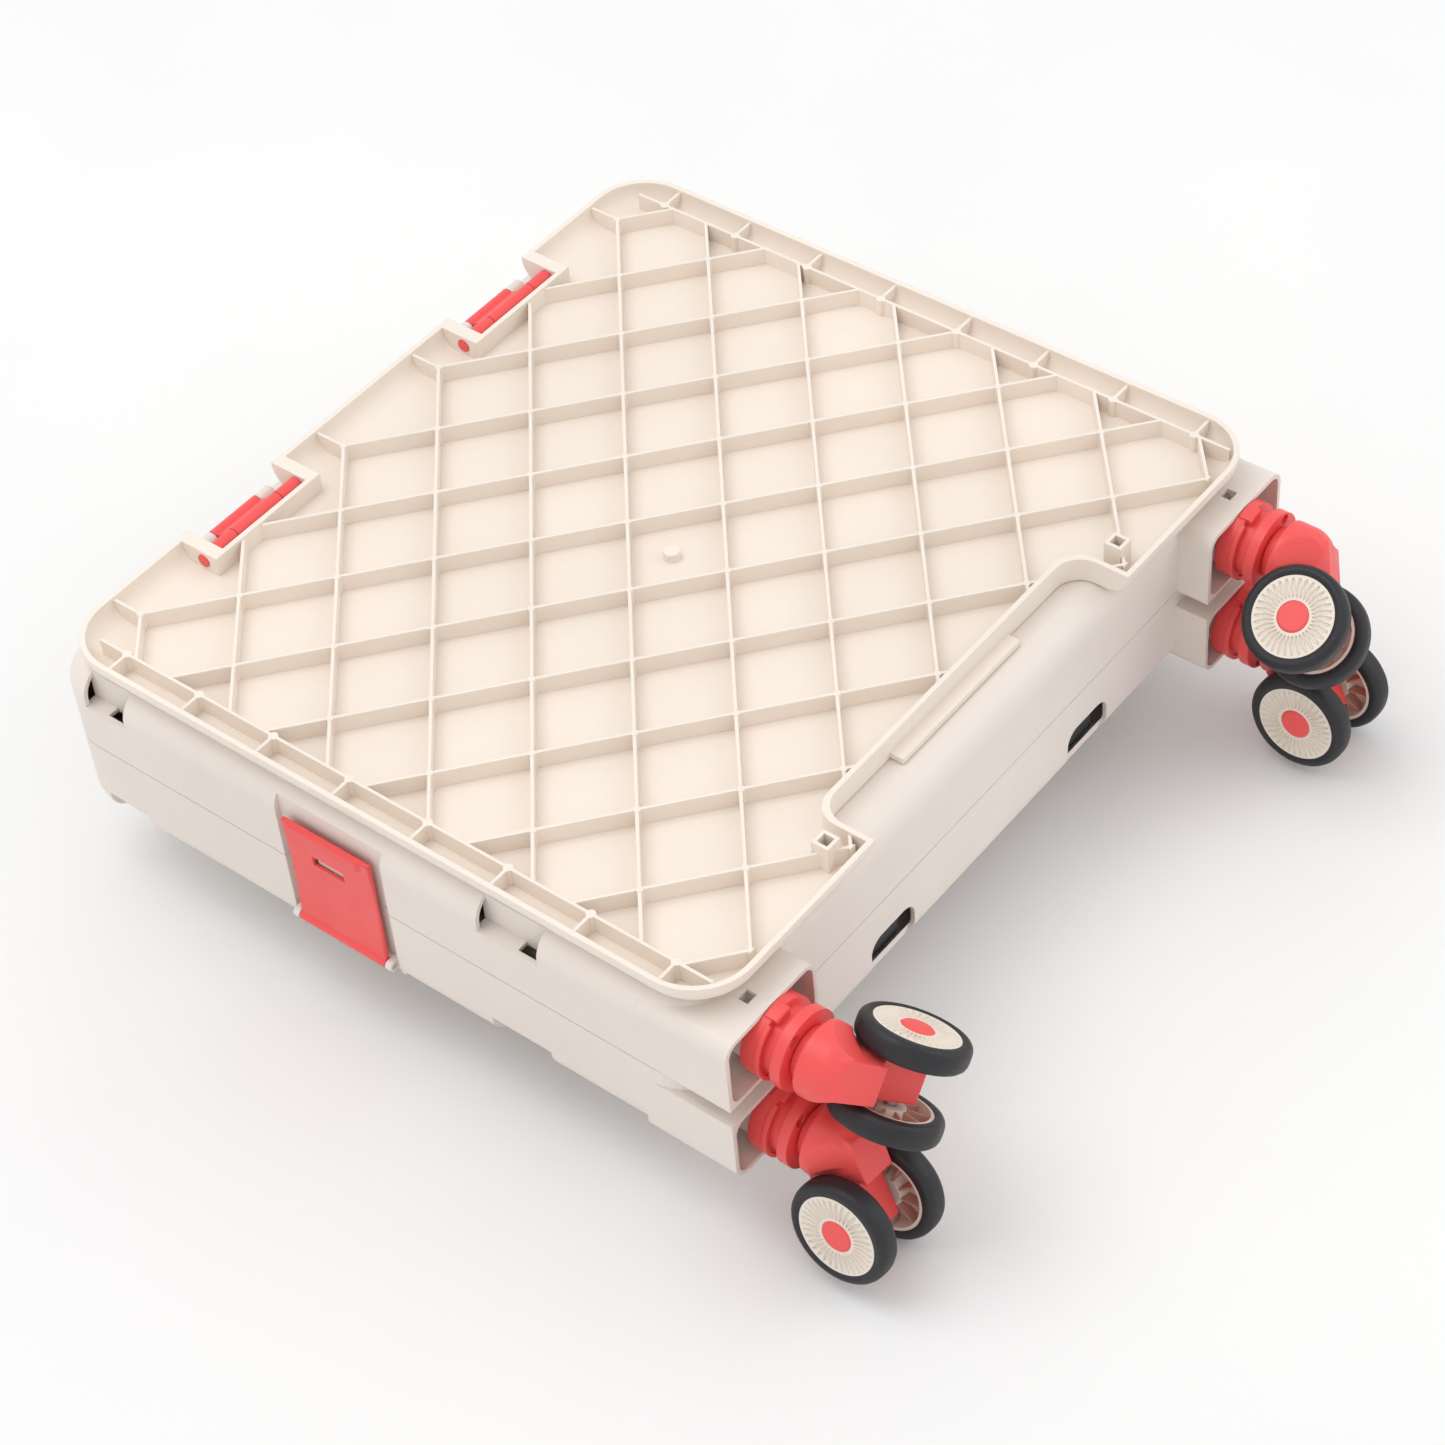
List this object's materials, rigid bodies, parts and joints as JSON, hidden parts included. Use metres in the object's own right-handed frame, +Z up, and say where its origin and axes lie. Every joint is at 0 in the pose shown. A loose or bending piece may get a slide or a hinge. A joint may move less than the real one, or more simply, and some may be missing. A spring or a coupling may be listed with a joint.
{
  "type": "folding trolley crate",
  "caption": "Folding shopping cart crate folded flat: two plastic shells with a ribbed hinged lid, folding sides, telescopic handle, side latch and twin-wheel swivel casters.",
  "frame": {"origin": "centre of the rear shell's flat outer face, which the folded cart lies on", "axes": "+X from the lid hinge to the casters, +Y across the width to the side without the latch, +Z up through the folded pack"},
  "size_m": [0.5275, 0.4826, 0.1646],
  "materials": {
    "pink_side": "satin moulded polypropylene",
    "cream_lid": "satin moulded polypropylene",
    "coral": "semi-gloss moulded plastic",
    "cream_cover": "semi-gloss moulded plastic",
    "tyre": "matt soft tread",
    "black": "matt textured",
    "steel": "drawn wire",
    "tube": "satin anodised"
  },
  "bodies": {
    "rear_shell": {"rear_shell": "pink_side", "latch_pin": "steel", "rear_side_rods": "steel", "floor_panel": "pink_side", "handle_outer_tubes": "tube", "handle_tube_plugs": "black", "rear_caster_collars": "coral", "rear_caster_stems": "steel"},
    "front_shell": {"front_shell": "pink_side", "shell_hinge_pins": "steel", "front_side_rods": "steel", "front_caster_collars": "coral", "front_caster_stems": "steel"},
    "lid_links": {"lid_hinge_links": "coral"},
    "lid": {"lid": "cream_lid", "lid_hinge_pins": "coral"},
    "latch": {"latch": "coral"},
    "rear_leaf_right": {"rear_leaf_right": "pink_side", "middle_rod_right": "steel"},
    "rear_leaf_left": {"rear_leaf_left": "pink_side", "middle_rod_left": "steel"},
    "front_leaf_right": {"front_leaf_right": "pink_side"},
    "front_leaf_left": {"front_leaf_left": "pink_side"},
    "handle_middle": {"handle_middle_tubes": "tube"},
    "handle_top": {"handle_inner_tubes": "tube", "handle_grip": "black"},
    "release_button": {"release_button": "black"},
    "front_left_fork": {"front_left_fork": "coral", "front_left_axle": "steel"},
    "front_left_wheel_a": {"front_left_tyre_a": "tyre", "front_left_rim_a": "cream_cover", "front_left_cap_a": "coral"},
    "front_left_wheel_b": {"front_left_tyre_b": "tyre", "front_left_rim_b": "cream_cover", "front_left_cap_b": "coral"},
    "front_right_fork": {"front_right_fork": "coral", "front_right_axle": "steel"},
    "front_right_wheel_a": {"front_right_tyre_a": "tyre", "front_right_rim_a": "cream_cover", "front_right_cap_a": "coral"},
    "front_right_wheel_b": {"front_right_tyre_b": "tyre", "front_right_rim_b": "cream_cover", "front_right_cap_b": "coral"},
    "rear_left_fork": {"rear_left_fork": "coral", "rear_left_axle": "steel"},
    "rear_left_wheel_a": {"rear_left_tyre_a": "tyre", "rear_left_rim_a": "cream_cover", "rear_left_cap_a": "coral"},
    "rear_left_wheel_b": {"rear_left_tyre_b": "tyre", "rear_left_rim_b": "cream_cover", "rear_left_cap_b": "coral"},
    "rear_right_fork": {"rear_right_fork": "coral", "rear_right_axle": "steel"},
    "rear_right_wheel_a": {"rear_right_tyre_a": "tyre", "rear_right_rim_a": "cream_cover", "rear_right_cap_a": "coral"},
    "rear_right_wheel_b": {"rear_right_tyre_b": "tyre", "rear_right_rim_b": "cream_cover", "rear_right_cap_b": "coral"}
  },
  "joints": [
    {"name": "side_fold", "type": "hinge", "parent": "rear_shell", "child": "rear_leaf_right", "pos_m": [0, 0.222, 0.037], "axis": [-1, 0, 0], "range_deg": [0, 85.4]},
    {"name": "middle_fold_right", "type": "hinge", "parent": "rear_leaf_right", "child": "front_leaf_right", "pos_m": [0, 0.048, 0.051], "axis": [-1, 0, 0], "range_deg": [-170.8, 0]},
    {"name": "front_fold_right", "type": "hinge", "parent": "front_leaf_right", "child": "front_shell", "pos_m": [0, 0.222, 0.065], "axis": [-1, 0, 0], "range_deg": [0, 85.4]},
    {"name": "side_fold_left", "type": "hinge", "parent": "rear_shell", "child": "rear_leaf_left", "pos_m": [0, -0.222, 0.037], "axis": [1, 0, 0], "range_deg": [0, 85.4]},
    {"name": "middle_fold_left", "type": "hinge", "parent": "rear_leaf_left", "child": "front_leaf_left", "pos_m": [0, -0.048, 0.051], "axis": [1, 0, 0], "range_deg": [-170.8, 0]},
    {"name": "lid_link_turn", "type": "hinge", "parent": "front_shell", "child": "lid_links", "pos_m": [-0.2035, 0, 0.0995], "axis": [0, -1, 0], "range_deg": [0, 180]},
    {"name": "lid_turn", "type": "hinge", "parent": "lid_links", "child": "lid", "pos_m": [-0.186, 0, 0.111], "axis": [0, -1, 0], "range_deg": [0, 90]},
    {"name": "latch_turn", "type": "hinge", "parent": "rear_shell", "child": "latch", "pos_m": [-0.017, -0.2406, 0.014], "axis": [1, 0, 0], "range_deg": [0, 100]},
    {"name": "handle_lower_slide", "type": "slide", "parent": "rear_shell", "child": "handle_middle", "axis": [-1, 0, 0], "range_m": [0, 0.3]},
    {"name": "handle_upper_slide", "type": "slide", "parent": "handle_middle", "child": "handle_top", "axis": [-1, 0, 0], "range_m": [0, 0.3]},
    {"name": "button_press", "type": "slide", "parent": "handle_top", "child": "release_button", "axis": [1, 0, 0], "range_m": [0, 0.003], "stiffness_N_per_m": 400},
    {"name": "front_left_swivel", "type": "hinge", "parent": "front_shell", "child": "front_left_fork", "pos_m": [0.25, -0.203, 0.0765], "axis": [1, 0, 0], "range_deg": [0, 230]},
    {"name": "front_left_wheel_a_roll", "type": "hinge", "parent": "front_left_fork", "child": "front_left_wheel_a", "pos_m": [0.286, -0.17944, 0.05875], "axis": [0, 0.6018, 0.7986], "continuous": true},
    {"name": "front_left_wheel_b_roll", "type": "hinge", "parent": "front_left_fork", "child": "front_left_wheel_b", "pos_m": [0.286, -0.17944, 0.05875], "axis": [0, 0.6018, 0.7986], "continuous": true},
    {"name": "front_right_swivel", "type": "hinge", "parent": "front_shell", "child": "front_right_fork", "pos_m": [0.25, 0.203, 0.0765], "axis": [1, 0, 0], "range_deg": [-230, 0]},
    {"name": "front_right_wheel_a_roll", "type": "hinge", "parent": "front_right_fork", "child": "front_right_wheel_a", "pos_m": [0.286, 0.17944, 0.05875], "axis": [0, 0.6018, -0.7986], "continuous": true},
    {"name": "front_right_wheel_b_roll", "type": "hinge", "parent": "front_right_fork", "child": "front_right_wheel_b", "pos_m": [0.286, 0.17944, 0.05875], "axis": [0, 0.6018, -0.7986], "continuous": true},
    {"name": "rear_left_swivel", "type": "hinge", "parent": "rear_shell", "child": "rear_left_fork", "pos_m": [0.25, -0.203, 0.0175], "axis": [1, 0, 0], "range_deg": [-70, 20]},
    {"name": "rear_left_wheel_a_roll", "type": "hinge", "parent": "rear_left_fork", "child": "rear_left_wheel_a", "pos_m": [0.286, -0.20863, -0.01146], "axis": [0, 0.9816, -0.1908], "continuous": true},
    {"name": "rear_left_wheel_b_roll", "type": "hinge", "parent": "rear_left_fork", "child": "rear_left_wheel_b", "pos_m": [0.286, -0.20863, -0.01146], "axis": [0, 0.9816, -0.1908], "continuous": true},
    {"name": "rear_right_swivel", "type": "hinge", "parent": "rear_shell", "child": "rear_right_fork", "pos_m": [0.25, 0.203, 0.0175], "axis": [1, 0, 0], "range_deg": [-7, 80]},
    {"name": "rear_right_wheel_a_roll", "type": "hinge", "parent": "rear_right_fork", "child": "rear_right_wheel_a", "pos_m": [0.286, 0.20043, -0.01189], "axis": [0, 0.9962, -0.0872], "continuous": true},
    {"name": "rear_right_wheel_b_roll", "type": "hinge", "parent": "rear_right_fork", "child": "rear_right_wheel_b", "pos_m": [0.286, 0.20043, -0.01189], "axis": [0, 0.9962, -0.0872], "continuous": true}
  ],
  "couplings": [
    {"joint": "middle_fold_right", "follows": "side_fold", "ratio": -2},
    {"joint": "front_fold_right", "follows": "side_fold", "ratio": 1},
    {"joint": "side_fold_left", "follows": "side_fold", "ratio": 1},
    {"joint": "middle_fold_left", "follows": "side_fold", "ratio": -2},
    {"joint": "lid_turn", "follows": "lid_link_turn", "ratio": 0.5}
  ]
}
